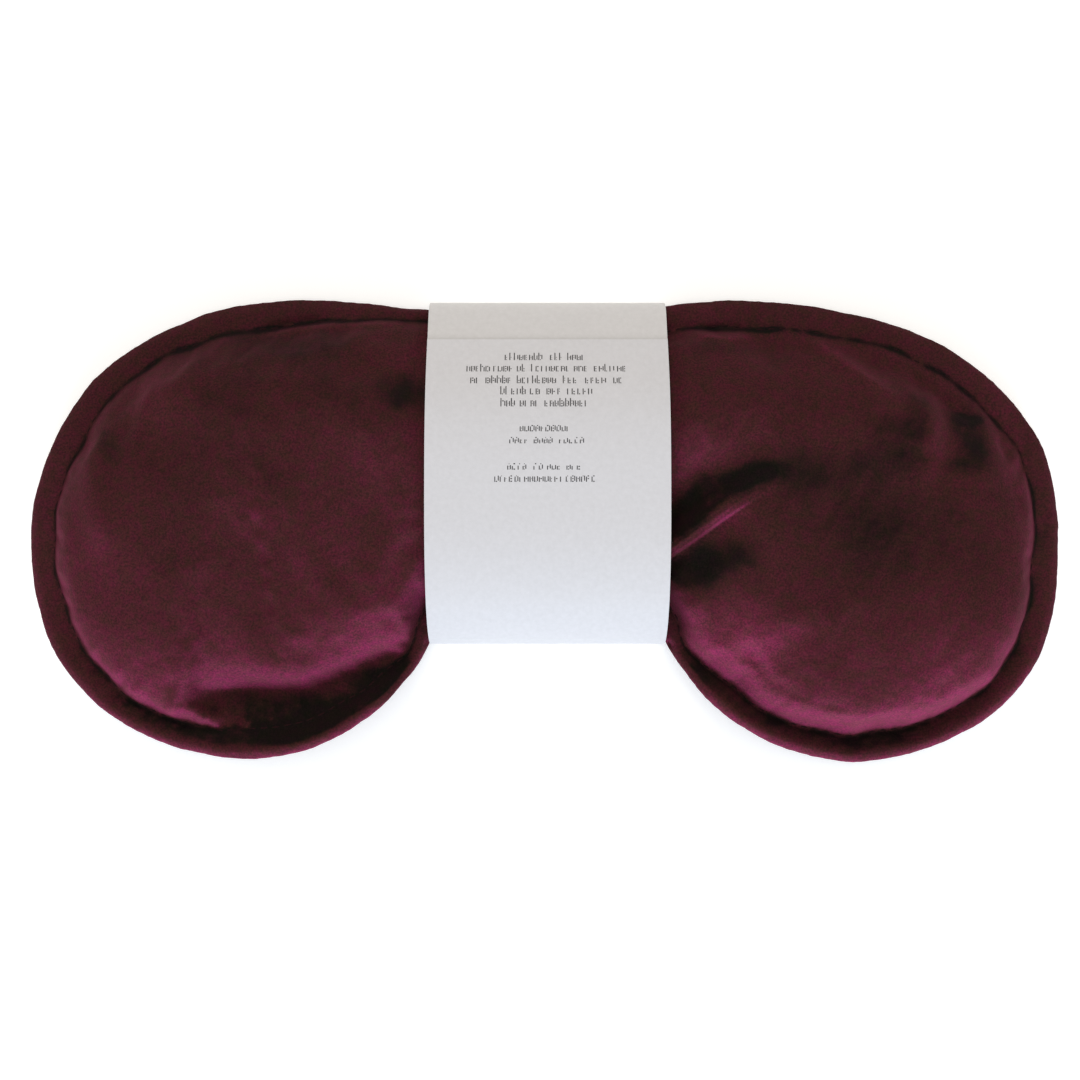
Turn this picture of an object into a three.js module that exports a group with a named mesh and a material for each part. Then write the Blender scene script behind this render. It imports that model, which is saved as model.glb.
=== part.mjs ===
// Eye pillow: two velvet panels sewn into a mask-shaped bag with a topstitched flange all round,
// filled with loose grain, and held in a paper belly band. Millimetres, +Z up, lying on z = 0.
// +X is the pillow's long side and +Y its brow side; the notch for the nose is on the -Y side.
import * as THREE from "three";

// Driving dimensions
const LENGTH = 240;
const FLANGE_HEIGHT = 6; // the flange's mid-plane above the table
const LOBE_TOP = 24.2;
const WAIST_TOP = 22.8;
const VELVET = 0.9; // one layer of cloth, pile included
const FOLD_GAP = 0.1; // between the two layers of one folded edge
const LAYER_GAP = 0.3; // between the face panel's folded edge and the back panel's
const STITCH_INSET = 6.4; // the topstitch runs a presser foot's width from the edge
const ALLOWANCE = 8.6; // how far the turned-in edge reaches into the bag
const THREAD_RADIUS = 0.25;
const STITCH_GROOVE = 0.4; // how deep the topstitch presses into the pile
const STITCH_BACK = 0.35; // the thread lies this far out from the foot of the dome
const FILL_CLEARANCE = 0.4;
const BAND_WIDTH = 54.6;
const BAND_CENTRE_X = 0.7;
const PAPER = 0.3;
const TAPE = 0.1;
const TAPE_CLEARANCE = 0.05;
const LAP_LENGTH = 15; // how far the band's two ends overlap

// The outline of the finished bag, anticlockwise from the middle of the brow side.
const OUTLINE = [
  [0, 51.4], [-27, 51.4], [-42, 53], [-57, 53.8], [-80, 50.2], [-103.2, 37.1], [-116, 17.3],
  [-120, -2], [-115.6, -25.6], [-103.5, -41], [-87, -50], [-69, -52.7], [-50, -48.7],
  [-37.6, -40.2], [-31.2, -32.8], [-28.2, -28], [-25.4, -22.2], [-20.6, -18.8], [-11, -17.4],
  [12, -17.4], [22, -19.2], [26.4, -22.4], [28.8, -26.6], [31.4, -30.9], [38.6, -39.9],
  [52.5, -49.3], [71.5, -54], [90, -50.6], [106, -41.4], [116.5, -26.8], [120, -3.5],
  [116.6, 19.2], [105.2, 34.6], [89, 45.3], [66, 51.7], [46, 53.7], [32.5, 52.9], [24, 51.6],
];
const SPINE_Y = 4.5; // both panels are highest along a straight line at this y
const SPINE_END = 62;
const RIBS = 60; // sections round the outline

// The band's section where it leaves the table and wraps the waist, as [y, z], anticlockwise from +X.
const BAND_LOOP = [
  [43.2, 15], [31.2, 20.7], [19.8, 23.4], [7.8, 24.4], [-4.2, 23.8], [-12, 21.8], [-17.4, 19.2],
  [-22, 15.4], [-25.2, 10.8], [-26.4, 6.6], [-25.6, 3], [-22.2, 0.85], [-16, 0.3], [12, 0.24],
  [40, 0.27], [47.6, 0.65], [51.9, 2.8], [52.9, 6.6], [51.3, 10.4],
];
const LOOP_STEPS = 84;

const smooth = (low, high, value) => THREE.MathUtils.smoothstep(value, low, high);

// One rib per outline sample: a vertical plane from the edge to the nearest point of the spine.
function makeRibs() {
  const curve = new THREE.CatmullRomCurve3(
    OUTLINE.map(([x, y]) => new THREE.Vector3(x, y, 0)), true, "centripetal");
  const edge = curve.getSpacedPoints(RIBS).slice(0, RIBS);
  const box = new THREE.Box3().setFromPoints(edge);
  const scale = LENGTH / (box.max.x - box.min.x);
  const centre = box.getCenter(new THREE.Vector3());
  edge.forEach((p) => p.sub(centre).multiplyScalar(scale));
  return edge.map((p, i) => {
    const along = edge[(i + 1) % RIBS].clone().sub(edge[(i + RIBS - 1) % RIBS]).normalize();
    const normal = new THREE.Vector3(-along.y, along.x, 0);
    const spine = new THREE.Vector3(THREE.MathUtils.clamp(p.x, -SPINE_END, SPINE_END), SPINE_Y, 0);
    const inward = spine.clone().sub(p);
    const reach = inward.length();
    inward.normalize();
    return { edge: p, inward, reach, skew: 1 / inward.dot(normal), spineX: spine.x };
  });
}
const ribs = makeRibs();

const place = (rib, inset, z) => rib.edge.clone().addScaledVector(rib.inward, inset).setZ(z);
const waistShare = (x) => 1 - smooth(28, 48, Math.abs(x - BAND_CENTRE_X));
const liftUnderBand = (x) => 0.75 * (1 - smooth(31, 37, Math.abs(x - BAND_CENTRE_X)));

// Heights are measured from the flange's mid-plane, up for the face panel and down for the back panel.
const FOLD_INNER = LAYER_GAP / 2;
const FLANGE_HALF = FOLD_INNER + 2 * VELVET + FOLD_GAP;
const FOLD_RADIUS = VELVET + FOLD_GAP / 2;
const SHARES = [0.93, 0.74, 0.56, 0.4, 0.26, 0.15, 0.07, 0.02]; // rings of the dome, centre to stitch

function faceHeight(rib, share) {
  const crown = THREE.MathUtils.lerp(LOBE_TOP, WAIST_TOP, waistShare(rib.spineX));
  const rise = crown - FLANGE_HEIGHT - FLANGE_HALF;
  return FLANGE_HALF + rise * Math.sqrt(1 - (1 - share) ** 2);
}

function backHeight(rib, share) {
  const at = rib.edge.x + rib.inward.x * rib.reach * share;
  const drop = FLANGE_HEIGHT - liftUnderBand(at) - FLANGE_HALF;
  return FLANGE_HALF + drop * smooth(0, 0.3, share);
}

// The rings of a panel's section from the crown out to the fold and back along its inner side, as
// [inset, height]. The edge folds under itself and reaches ALLOWANCE into the bag.
function panelSection(rib, height) {
  const stitch = STITCH_INSET * rib.skew;
  const inset = (share) => stitch + (rib.reach - stitch) * share;
  const dome = SHARES.map((share) => [inset(share), height(rib, share)]);
  const foldMiddle = FOLD_INNER + FOLD_RADIUS;
  const fold = [75, 38, 0, -38, -75].map((degrees) => {
    const turn = THREE.MathUtils.degToRad(degrees);
    return [FOLD_RADIUS * (1 - Math.cos(turn)), foldMiddle + FOLD_RADIUS * Math.sin(turn)];
  });
  const allowance = ALLOWANCE * rib.skew;
  const gapStart = FOLD_RADIUS * rib.skew;
  return [
    ...dome,
    [stitch, FLANGE_HALF - STITCH_GROOVE],
    [stitch - 0.8, FLANGE_HALF],
    ...fold,
    [allowance, FOLD_INNER],
    [allowance, FOLD_INNER + VELVET],
    [gapStart, FOLD_INNER + VELVET],
    [gapStart, FLANGE_HALF - VELVET],
    [stitch + 0.2, FLANGE_HALF - VELVET],
    ...innerSide(dome),
  ];
}

// A dome's inner side: each ring moved in by one layer of velvet, square to the section.
function innerSide(dome) {
  return dome.map(([inset, height], k) => {
    const [insetIn, heightIn] = dome[Math.max(k - 1, 0)];
    const [insetOut, heightOut] = dome[Math.min(k + 1, dome.length - 1)];
    const run = new THREE.Vector2(insetIn - insetOut, heightIn - heightOut).normalize();
    return [inset + VELVET * run.y, height - VELVET * run.x];
  }).reverse();
}

// A solid skinned over closed loops of points. It is capped at both ends, or joined end to start.
function skin(loops, { capped, inverted = false }) {
  const count = loops[0].length;
  const positions = loops.flat().flatMap((p) => [p.x, p.y, p.z]);
  const faces = [];
  const add = (a, b, c) => faces.push(...(inverted ? [a, c, b] : [a, b, c]));
  const bands = capped ? loops.length - 1 : loops.length;
  for (let k = 0; k < bands; k++) {
    const from = k * count;
    const to = ((k + 1) % loops.length) * count;
    for (let i = 0; i < count; i++) {
      const next = (i + 1) % count;
      add(from + i, to + i, to + next);
      add(from + i, to + next, from + next);
    }
  }
  if (capped) {
    addCap(loops[0], 0, 1, add);
    addCap(loops.at(-1), (loops.length - 1) * count, -1, add);
  }
  const geometry = new THREE.BufferGeometry();
  geometry.setAttribute("position", new THREE.Float32BufferAttribute(positions, 3));
  geometry.setIndex(faces);
  geometry.computeVertexNormals();
  return geometry;
}

// Closes a long loop with short triangles that all face up (way 1) or all face down (way -1). The
// loop's two sides are walked together, from its lowest x to its highest.
function addCap(loop, start, way, add) {
  const order = loop.map((_, i) => i).sort((a, b) => loop[a].x - loop[b].x);
  const step = (from, to, by) => {
    const chain = [from];
    while (chain.at(-1) !== to) chain.push((chain.at(-1) + by + loop.length) % loop.length);
    return chain;
  };
  const near = step(order[0], order.at(-1), 1);
  const far = step(order[0], order.at(-1), -1).slice(1, -1);
  const face = (a, b, c) => {
    const [p, q, r] = [loop[a], loop[b], loop[c]];
    const turn = (q.x - p.x) * (r.y - p.y) - (q.y - p.y) * (r.x - p.x);
    if (turn * way > 0) add(start + a, start + b, start + c);
    else add(start + a, start + c, start + b);
  };
  let i = 0;
  let j = 0;
  while (i < near.length - 1 || j < far.length - 1) {
    const nearNext = i < near.length - 1 ? loop[near[i + 1]].x : Infinity;
    const farNext = j < far.length - 1 ? loop[far[j + 1]].x : Infinity;
    if (nearNext <= farNext) {
      face(near[i], near[i + 1], far[j]);
      i++;
    } else {
      face(far[j], far[j + 1], near[i]);
      j++;
    }
  }
}

// side is 1 for the panel above the flange's mid-plane and -1 for the one below it.
function panel(side, height) {
  const sections = ribs.map((rib) => panelSection(rib, height));
  const loops = sections[0].map((_, ring) => ribs.map((rib, i) => {
    const [inset, h] = sections[i][ring];
    return place(rib, inset, FLANGE_HEIGHT + side * h);
  }));
  return skin(loops, { capped: true, inverted: side < 0 });
}

// The grain fills the bag from the turned-in edges inwards, just clear of both panels.
function grain() {
  const inner = (height, rib, share) => {
    const clear = VELVET + FILL_CLEARANCE;
    return height(rib, share) - clear;
  };
  const ring = (share, side, height) => ribs.map((rib) => {
    const start = (ALLOWANCE + 1.2) * rib.skew;
    const inset = start + (rib.reach - start) * share;
    const stitch = STITCH_INSET * rib.skew;
    const panelShare = (inset - stitch - 1.6) / (rib.reach - stitch);
    return place(rib, inset, FLANGE_HEIGHT + side * inner(height, rib, Math.max(panelShare, 0)));
  });
  const shares = [0.92, 0.7, 0.48, 0.28, 0.12, 0];
  return skin([
    ...shares.map((share) => ring(share, 1, faceHeight)),
    ...shares.toReversed().map((share) => ring(share, -1, backHeight)),
  ], { capped: true });
}

// A closed ring of thread, square to the ribs, with its centre at one inset and height.
function threadRing(insetOf, z) {
  const sides = 5;
  const loops = ribs.map((rib) => {
    const centre = place(rib, insetOf(rib), z);
    return Array.from({ length: sides }, (_, k) => {
      const turn = (k / sides) * 2 * Math.PI;
      return centre.clone()
        .addScaledVector(rib.inward, THREAD_RADIUS * Math.cos(turn))
        .add(new THREE.Vector3(0, 0, THREAD_RADIUS * Math.sin(turn)));
    });
  });
  return skin(loops, { capped: false, inverted: true });
}

function topstitch(side) {
  const height = FLANGE_HALF - STITCH_GROOVE / 2 + THREAD_RADIUS + 0.1;
  const inset = (rib) => (STITCH_INSET - STITCH_BACK) * rib.skew;
  return threadRing(inset, FLANGE_HEIGHT + side * height);
}

// The seam that joins the panels lies in the groove between their two folds.
const joinSeam = () => threadRing(() => 0.3, FLANGE_HEIGHT);

// The band's loop as evenly spaced points with outward normals, from the outer end round to the inner end.
const bandCurve = new THREE.CatmullRomCurve3(
  BAND_LOOP.map(([y, z]) => new THREE.Vector3(y, z, 0)), true, "centripetal");
const LOOP_LENGTH = bandCurve.getLength();

function loopPoint(distance, outward) {
  const t = (((distance / LOOP_LENGTH) % 1) + 1) % 1;
  const along = bandCurve.getTangentAt(t);
  const point = bandCurve.getPointAt(t);
  return new THREE.Vector2(point.x + along.y * -outward, point.y + along.x * outward);
}

// The outer end stands clear of the inner one by the paper and the tape, and eases down to the loop.
function lapOffset(distance) {
  const clear = PAPER + TAPE + 2 * TAPE_CLEARANCE;
  return clear * (1 - smooth(LAP_LENGTH + 2, LAP_LENGTH + 24, distance));
}

// A strip that follows the loop from one distance to another, extruded across the band.
function strip(from, to, steps, thickness, offsetAt, width) {
  const distances = Array.from({ length: steps + 1 }, (_, k) => from + ((to - from) * k) / steps);
  const outside = distances.map((d) => loopPoint(d, offsetAt(d) + thickness / 2));
  const inside = distances.map((d) => loopPoint(d, offsetAt(d) - thickness / 2));
  const shape = new THREE.Shape([...outside, ...inside.reverse()]);
  const geometry = new THREE.ExtrudeGeometry(shape, { depth: width, bevelEnabled: false, steps: 1 });
  // The shape's x is the pillow's y and its y is up, so the extrusion turns to run along X.
  const turn = new THREE.Matrix4().makeBasis(
    new THREE.Vector3(0, 1, 0), new THREE.Vector3(0, 0, 1), new THREE.Vector3(1, 0, 0));
  return geometry.translate(0, 0, -width / 2).applyMatrix4(turn).translate(BAND_CENTRE_X, 0, 0);
}

const bellyBand = () =>
  strip(0, LOOP_LENGTH + LAP_LENGTH, LOOP_STEPS, PAPER, lapOffset, BAND_WIDTH);

function bandTape() {
  const middle = (PAPER + TAPE) / 2 + TAPE_CLEARANCE;
  return strip(2.5, LAP_LENGTH - 2.5, 5, TAPE, () => middle, BAND_WIDTH - 6);
}

const velvet = new THREE.MeshStandardMaterial({ color: 0x4b1828, roughness: 0.9, metalness: 0 });
const thread = new THREE.MeshStandardMaterial({ color: 0x2a0c15, roughness: 0.6, metalness: 0 });
const paper = new THREE.MeshStandardMaterial({ color: 0xe6e6e8, roughness: 0.7, metalness: 0 });
const tape = new THREE.MeshStandardMaterial({ color: 0xf0ead8, roughness: 0.4, metalness: 0 });
const seeds = new THREE.MeshStandardMaterial({ color: 0xb8a070, roughness: 0.8, metalness: 0 });

const eyePillow = new THREE.Group();

function add(name, geometry, material) {
  const mesh = new THREE.Mesh(geometry, material);
  mesh.name = name;
  eyePillow.add(mesh);
}

add("face_cover", panel(1, faceHeight), velvet);
add("back_cover", panel(-1, backHeight), velvet);
add("grain_fill", grain(), seeds);
add("face_topstitch", topstitch(1), thread);
add("back_topstitch", topstitch(-1), thread);
add("join_seam_thread", joinSeam(), thread);
add("belly_band", bellyBand(), paper);
add("band_tape", bandTape(), tape);

export default eyePillow;
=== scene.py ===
import math

import bmesh
import bpy
import numpy as np
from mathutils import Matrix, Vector
from mathutils.bvhtree import BVHTree
from mathutils.geometry import delaunay_2d_cdt


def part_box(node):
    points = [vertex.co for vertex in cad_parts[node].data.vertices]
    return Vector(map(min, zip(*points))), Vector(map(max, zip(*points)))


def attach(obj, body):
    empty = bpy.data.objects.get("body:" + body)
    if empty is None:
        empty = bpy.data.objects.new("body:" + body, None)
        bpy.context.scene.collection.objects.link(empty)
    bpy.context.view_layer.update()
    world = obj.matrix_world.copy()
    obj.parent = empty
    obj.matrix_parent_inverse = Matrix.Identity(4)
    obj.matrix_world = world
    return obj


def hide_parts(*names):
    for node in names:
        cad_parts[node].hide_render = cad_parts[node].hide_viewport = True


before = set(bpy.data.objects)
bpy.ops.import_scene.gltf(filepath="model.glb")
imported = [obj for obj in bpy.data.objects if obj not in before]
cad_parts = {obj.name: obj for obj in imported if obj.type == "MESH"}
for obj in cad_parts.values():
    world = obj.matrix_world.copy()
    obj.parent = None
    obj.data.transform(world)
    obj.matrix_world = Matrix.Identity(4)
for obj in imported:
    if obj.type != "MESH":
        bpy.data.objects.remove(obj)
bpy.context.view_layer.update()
MM = 0.001

# ---------------------------------------------------------------- sizes
LENGTH = (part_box("face_cover")[1][0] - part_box("face_cover")[0][0]) / MM
LOBE_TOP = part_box("face_cover")[1][2] / MM
FLANGE_HEIGHT = 6.0
FLANGE_HALF = 1.9
STITCH_INSET = 6.4
ALLOWANCE = 6.2
CLOTH = 0.8
SWELL_ROOM = 1.5  # how far past the lobes' top in the CAD the cloth may swell
STITCH_PITCH = 2.7
STITCH_LENGTH = 2.1
THREAD_RADIUS = 0.24
SPINE_END = 62.0
MESH_SIZE = 2.5
CLOTH_MASS = 0.002
CLOTH_STIFF = 8.0
CLOTH_BEND = 0.2
EASE = 0.02
PRESSURE = 4.0
BAND_WIDTH = 54.6
BAND_CENTRE_X = 0.7
PAPER = 0.3
LAP_LENGTH = 15.0

OUTLINE = [
    (0, 51.4), (-27, 51.4), (-42, 53), (-57, 53.8), (-80, 50.2), (-103.2, 37.1), (-116, 17.3),
    (-120, -2), (-115.6, -25.6), (-103.5, -41), (-87, -50), (-69, -52.7), (-50, -48.7),
    (-37.4, -40.6), (-30.6, -33), (-27.5, -28), (-25.1, -22.6), (-20.6, -18.8), (-11, -17.4),
    (12, -17.4), (22, -19.2), (26.4, -22.4), (28.7, -26.9), (31.3, -31.2), (38.5, -40.1),
    (52.5, -49.3), (71.5, -54), (90, -50.6), (106, -41.4), (116.5, -26.8), (120, -3.5),
    (116.6, 19.2), (105.2, 34.6), (89, 45.3), (66, 51.7), (46, 53.7), (32.5, 52.9), (24, 51.6),
]

BAND_LOOP = [
    (43.2, 15), (31.2, 20.7), (19.8, 23.4), (7.8, 24.4), (-4.2, 23.8), (-12, 21.8), (-17.4, 19.2),
    (-22, 15.4), (-25.2, 10.8), (-26.4, 6.6), (-25.6, 3), (-22.2, 0.85), (-16, 0.3), (12, 0.24),
    (40, 0.27), (47.6, 0.65), (51.9, 2.8), (52.9, 6.6), (51.3, 10.4),
]


# ---------------------------------------------------------------- curves
def smooth(low, high, value):
    t = np.clip((np.asarray(value, float) - low) / (high - low), 0, 1)
    return t * t * (3 - 2 * t)


def closed_curve(points, per_segment=60):
    """Centripetal Catmull-Rom through the points, closed."""
    p = np.array(points, float)
    n = len(p)
    out = []
    for i in range(n):
        p0, p1, p2, p3 = p[i - 1], p[i], p[(i + 1) % n], p[(i + 2) % n]
        t0 = max(np.linalg.norm(p1 - p0) ** 0.5, 1e-4)
        t1 = max(np.linalg.norm(p2 - p1) ** 0.5, 1e-4)
        t2 = max(np.linalg.norm(p3 - p2) ** 0.5, 1e-4)
        m1 = ((p1 - p0) / t0 - (p2 - p0) / (t0 + t1) + (p2 - p1) / t1) * t1
        m2 = ((p2 - p1) / t1 - (p3 - p1) / (t1 + t2) + (p3 - p2) / t2) * t1
        s = np.linspace(0, 1, per_segment, endpoint=False)[:, None]
        out.append(
            p1 * (2 * s**3 - 3 * s**2 + 1)
            + m1 * (s**3 - 2 * s**2 + s)
            + p2 * (-2 * s**3 + 3 * s**2)
            + m2 * (s**3 - s**2)
        )
    return np.concatenate(out)


def evenly(curve, count):
    """A closed polyline resampled to count even steps."""
    closed = np.vstack([curve, curve[:1]])
    along = np.r_[0, np.cumsum(np.linalg.norm(np.diff(closed, axis=0), axis=1))]
    at = np.linspace(0, along[-1], count, endpoint=False)
    return np.stack([np.interp(at, along, closed[:, k]) for k in range(closed.shape[1])], 1)


def inward_normals(curve):
    along = np.roll(curve, -1, 0) - np.roll(curve, 1, 0)
    along /= np.linalg.norm(along, axis=1)[:, None]
    return np.stack([-along[:, 1], along[:, 0]], 1)


def length_of(curve):
    return np.linalg.norm(np.roll(curve, -1, 0) - curve, axis=1).sum()


loop_outline = closed_curve(BAND_LOOP)
outline = closed_curve(OUTLINE)
low, high = outline.min(0), outline.max(0)
outline = (outline - (low + high) / 2) * LENGTH / (high[0] - low[0])
EDGE_COUNT = 4 * round(length_of(outline) / MESH_SIZE / 4)
edge = evenly(outline, EDGE_COUNT)
inward = inward_normals(edge)
around = np.linspace(0, 2 * math.pi, EDGE_COUNT, endpoint=False)
wobble = 0.30 * np.sin(11 * around + 1) + 0.22 * np.sin(29 * around + 3) + 0.15 * np.sin(47 * around)
ripple = 0.06 * np.sin(37 * around + 2) + 0.05 * np.sin(61 * around) + 0.04 * np.sin(83 * around + 1)
# the flange looks narrower where the band pinches it: at both notch corners and by the brow on the left
flange_width = STITCH_INSET + wobble
for x, y, reach in ((-29, -28, 9), (30, -28, 9), (-28, 51, 20)):
    flange_width -= 3.0 * np.exp(-((np.hypot(edge[:, 0] - x, edge[:, 1] - y) / reach) ** 2))
edge = edge + inward * ripple[:, None]
stitch_line = edge + inward * flange_width[:, None]


def nearest_on(points, path):
    """Each point's distance to a path, its side (1 on the left, -1 on the right), and how far along the
    path the nearest place is, 0 to 1."""
    path = np.array(path, float)
    legs = np.linalg.norm(np.diff(path, axis=0), axis=1)
    total = legs.sum()
    best = np.full(len(points), 1e9)
    side = np.zeros(len(points))
    where = np.zeros(len(points))
    start = 0.0
    for a, b, leg in zip(path, path[1:], legs):
        ab = b - a
        t = np.clip(((points - a) @ ab) / (ab @ ab), 0, 1)
        d = np.linalg.norm(points - a - t[:, None] * ab, axis=1)
        nearer = d < best
        left = np.sign(ab[0] * (points[:, 1] - a[1]) - ab[1] * (points[:, 0] - a[0]))
        best[nearer] = d[nearer]
        side[nearer] = left[nearer]
        where[nearer] = ((start + t * leg) / total)[nearer]
        start += leg
    return best, side, where


def beside(points, path):
    """Signed distance to a path, above 0 on its left, and how far along it the nearest place is, 0 to 1."""
    away, side, where = nearest_on(points, path)
    return side * away, where


def rounded(path, per_segment=12):
    """An open path with its corners rounded."""
    p = np.array(path, float)
    p = np.vstack([2 * p[0] - p[1], p, 2 * p[-1] - p[-2]])
    out = []
    for p0, p1, p2, p3 in zip(p, p[1:], p[2:], p[3:]):
        s = np.linspace(0, 1, per_segment, endpoint=False)[:, None]
        square = (2 * p0 - 5 * p1 + 4 * p2 - p3) * s**2
        cube = (3 * p1 - p0 - 3 * p2 + p3) * s**3
        out.append(0.5 * (2 * p1 + (p2 - p0) * s + square + cube))
    return np.vstack(out + [p[-2:-1]])


# the tuck that runs out from under the band on the right lobe
TUCK = [(22, -10.5), (29.4, -4.9), (35, -0.8), (41, 3.6), (46, 6.9), (51, 8.8), (58, 9.6), (66, 8.6)]


# ---------------------------------------------------------------- the dome's mesh, in plan
def inside(points, polygon):
    x, y = points[:, 0], points[:, 1]
    hit = np.zeros(len(points), bool)
    for (x0, y0), (x1, y1) in zip(polygon, np.roll(polygon, -1, 0)):
        if y0 == y1:
            continue
        crosses = (y0 > y) != (y1 > y)
        hit ^= crosses & (x < (x1 - x0) * (y - y0) / (y1 - y0) + x0)
    return hit


def distance_to(points, polygon):
    best = np.full(len(points), 1e9)
    for a, b in zip(polygon, np.roll(polygon, -1, 0)):
        ab = b - a
        t = np.clip(((points - a) @ ab) / (ab @ ab), 0, 1)
        best = np.minimum(best, np.linalg.norm(points - a - t[:, None] * ab, axis=1))
    return best


def lattice(size):
    lo, hi = stitch_line.min(0), stitch_line.max(0)
    points = []
    for k, y in enumerate(np.arange(lo[1], hi[1], size * math.sqrt(3) / 2)):
        x = np.arange(lo[0] + (k % 2) * size / 2, hi[0], size)
        points.append(np.stack([x, np.full(len(x), y)], 1))
    return np.concatenate(points)


def by_tuck(points, reach):
    signed, _ = beside(points, rounded(TUCK))
    return (np.abs(signed) < reach) & (points[:, 0] > 25) & (points[:, 0] < 52)


def flat_pattern():
    """Triangles in plan that fill the stitch line, as (points, triangles). The stitch line's points come
    first."""
    points, close = lattice(MESH_SIZE), lattice(MESH_SIZE / 2)
    points = np.vstack([points[~by_tuck(points, 4.0)], close[by_tuck(close, 3.0)]])
    points = points[inside(points, stitch_line)]
    points = points[distance_to(points, stitch_line) > MESH_SIZE * 0.6]
    both = np.vstack([stitch_line, points])
    n = len(stitch_line)
    edges = [(i, (i + 1) % n) for i in range(n)]
    made, _, faces, *_ = delaunay_2d_cdt([Vector(p) for p in both], edges, [], 0, 1e-6)
    made = np.array([tuple(p) for p in made])
    faces = np.array([f for f in faces if len(f) == 3])
    centres = made[faces].mean(1)
    faces = faces[inside(centres, stitch_line)]
    a, b, c = (made[faces[:, k]] for k in range(3))
    turned = (b[:, 0] - a[:, 0]) * (c[:, 1] - a[:, 1]) < (b[:, 1] - a[:, 1]) * (c[:, 0] - a[:, 0])
    faces[turned] = faces[turned][:, ::-1]
    return made, faces


flat, triangles = flat_pattern()


def crown_shares():
    """0 on the stitch line, rising to 1 along the middle: a membrane's swell, evened out along X."""
    n = len(flat)
    area = np.zeros(n)
    rows, cols, vals = [], [], []
    for k in range(3):
        i, j, o = triangles[:, k], triangles[:, (k + 1) % 3], triangles[:, (k + 2) % 3]
        u, v = flat[i] - flat[o], flat[j] - flat[o]
        cross = np.abs(u[:, 0] * v[:, 1] - u[:, 1] * v[:, 0])
        cot = (u * v).sum(1) / cross / 2
        rows += [i, j]
        cols += [j, i]
        vals += [cot, cot]
        np.add.at(area, i, cross / 6)
    rows, cols, vals = map(np.concatenate, (rows, cols, vals))
    diagonal = np.bincount(rows, vals, n)
    free = np.arange(n) >= EDGE_COUNT

    def apply(x):
        return np.where(free, diagonal * x - np.bincount(rows, vals * x[cols], n), 0)

    x = np.zeros(n)
    r = np.where(free, area, 0)
    z = r / diagonal
    p = z.copy()
    rz = r @ z
    for _ in range(600):
        ap = apply(p)
        step = rz / (p @ ap)
        x += step * p
        r -= step * ap
        if np.abs(r).max() < 1e-7:
            break
        z = r / diagonal
        new = r @ z
        p = z + new / rz * p
        rz = new
    bins = np.arange(-SPINE_END, SPINE_END + 1, 4.0)
    highest = np.array([x[np.abs(flat[:, 0] - b) < 3].max() for b in bins])
    highest = np.convolve(np.pad(highest, 2, mode="edge"), np.ones(5) / 5, "valid")
    share = x / np.interp(np.clip(flat[:, 0], -SPINE_END, SPINE_END), bins, highest)
    return np.clip(share, 0, 1.05)


share = crown_shares()


# ---------------------------------------------------------------- reliefs pressed into the cloth
def stroke(points, path, width, height, taper=0.25):
    """A soft ridge (height above 0) or furrow (below 0) along a path, thinning out towards both ends."""
    best, _, where = nearest_on(points, path)
    ends = smooth(0, taper, where) * smooth(0, taper, 1 - where)
    return height * (0.15 + 0.85 * ends) * np.exp(-((best / width) ** 2))


def crease(points, path, profile, fade):
    """A fold with one section all along: profile lists (distance to the left, height). fade is its strength
    as (share of the way along, strength)."""
    signed, where = beside(points, rounded(path))
    height = np.full(len(points), float(profile[0][1]))
    for (d0, h0), (d1, h1) in zip(profile, profile[1:]):
        height += (h1 - h0) * smooth(d0, d1, signed)
    at, strength = zip(*fade)
    return height * np.interp(where, at, strength)


def wander(points, scale, seed, octaves=3):
    """Smooth noise from a few seeded waves, about -1 to 1."""
    rng = np.random.default_rng(seed)
    total = np.zeros(len(points))
    size = 1.0
    for _ in range(octaves):
        for _ in range(5):
            turn = rng.uniform(0, 2 * math.pi)
            phase = rng.uniform(0, 2 * math.pi)
            wave = 2 * math.pi / (scale * size * rng.uniform(0.75, 1.3))
            total += size * np.sin(wave * (points @ [math.cos(turn), math.sin(turn)]) + phase)
        size *= 0.5
    return total / (5**0.5 * 1.4)


FACE_FOLDS = [
    # (path, width, height), left lobe first
    ([(-80, -30), (-62, -24), (-46, -17.5), (-29, -10)], 7.0, 1.0),
    ([(-47, 37), (-36, 35.5), (-27, 34)], 5.0, -2.2),
    ([(-94, 33), (-86, 33), (-76, 36)], 7.0, 2.2),
    ([(-92, 18), (-80, 18), (-70, 16)], 9.0, -2.0),
    ([(-103, 24), (-101, 9), (-97, -6)], 4.5, 1.4),
    ([(-60, 30), (-48, 24), (-36, 26)], 8.0, 0.7),
    # right lobe
    ([(62, 46), (67, 41), (74, 34), (83, 25)], 3.4, 1.2),
    ([(86, 34), (87, 25), (85, 16)], 4.0, 1.2),
    ([(92, 32), (93, 22), (91, 12)], 3.6, -1.2),
    ([(99, 30), (102, 20), (101, 8)], 4.5, 1.2),
    ([(60, 12), (78, 6), (96, 2)], 10.0, -1.4),
]

# thin folds close to the stitch line on the brow side: (path, width, height)
THIN_FOLDS = [
    ([(-67, 44.6), (-57, 46.6), (-51, 47.3), (-43, 47.7), (-28, 48.2)], 1.1, 1.1),
    ([(-66, 46.6), (-57, 48.4), (-50, 49.2)], 1.2, -0.9),
    ([(33, 46.0), (37, 44.6), (42, 44.0), (48, 44.8)], 1.1, 0.9),
    ([(36, 46.6), (42, 46.4), (48, 46.6)], 1.1, -1.0),
    ([(60, 46), (66, 41), (74, 34.5), (80, 29)], 1.5, 0.8),
]


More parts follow.
